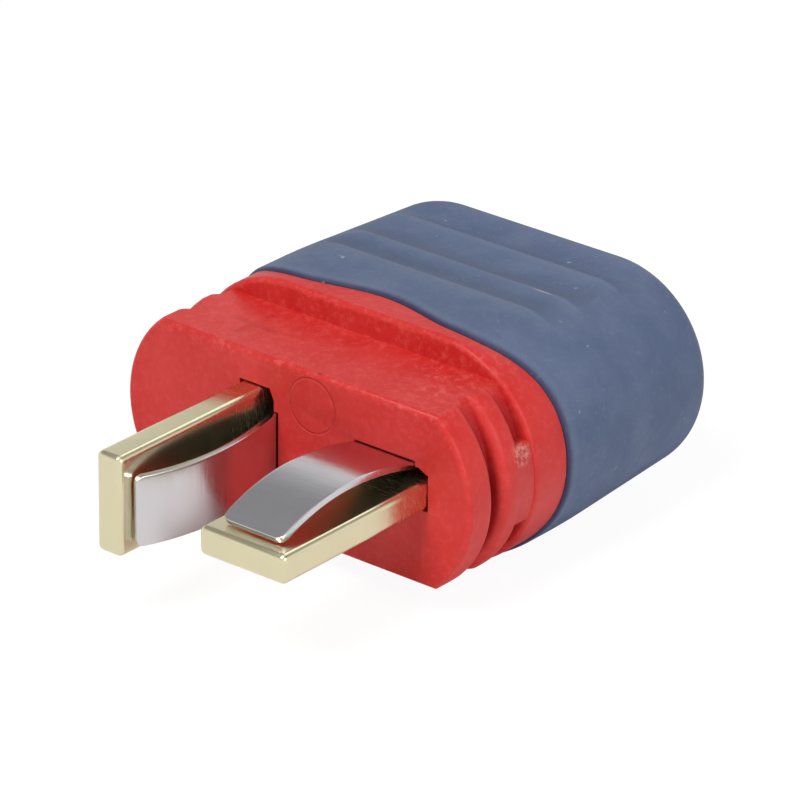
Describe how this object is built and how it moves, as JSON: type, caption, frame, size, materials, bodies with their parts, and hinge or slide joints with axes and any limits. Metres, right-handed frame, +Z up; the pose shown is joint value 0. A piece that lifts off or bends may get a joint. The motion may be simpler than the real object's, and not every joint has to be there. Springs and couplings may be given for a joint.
{
  "type": "t plug battery connector",
  "caption": "Two-pole flat-blade battery plug with crossed contacts, arched leaf springs, a stadium-shaped housing and a slide-on cap over its solder tabs.",
  "frame": {"origin": "middle of the housing's mating face", "axes": "+X along the housing's width, +Y from the blade tips to the cap, +Z up, square to the flat blade"},
  "size_m": [0.0168, 0.0232, 0.0092],
  "materials": {
    "red_plastic": "satin moulded nylon",
    "gold_plated_brass": "pale gold plating",
    "nickel_plated_spring": "bright nickel plating",
    "slate_plastic": "matte moulded nylon"
  },
  "bodies": {
    "plug": {"housing": "red_plastic", "flat_blade": "gold_plated_brass", "upright_blade": "gold_plated_brass"},
    "flat_spring": {"flat_leaf": "nickel_plated_spring"},
    "upright_spring": {"upright_leaf": "nickel_plated_spring"},
    "rear_cap": {"cap": "slate_plastic"}
  },
  "joints": [
    {"name": "cap_slide", "type": "slide", "parent": "plug", "child": "rear_cap", "axis": [0, 1, 0], "range_m": [0, 0.01]},
    {"name": "flat_leaf_bend", "type": "hinge", "parent": "plug", "child": "flat_spring", "pos_m": [0.00424, -0.00728, 0.00082], "axis": [-1, 0, 0], "range_deg": [0, 1.5], "stiffness_Nm_per_rad": 0.01},
    {"name": "upright_leaf_bend", "type": "hinge", "parent": "plug", "child": "upright_spring", "pos_m": [-0.00145, -0.00728, -0.00006], "axis": [0, 0, 1], "range_deg": [0, 1.5], "stiffness_Nm_per_rad": 0.01}
  ]
}
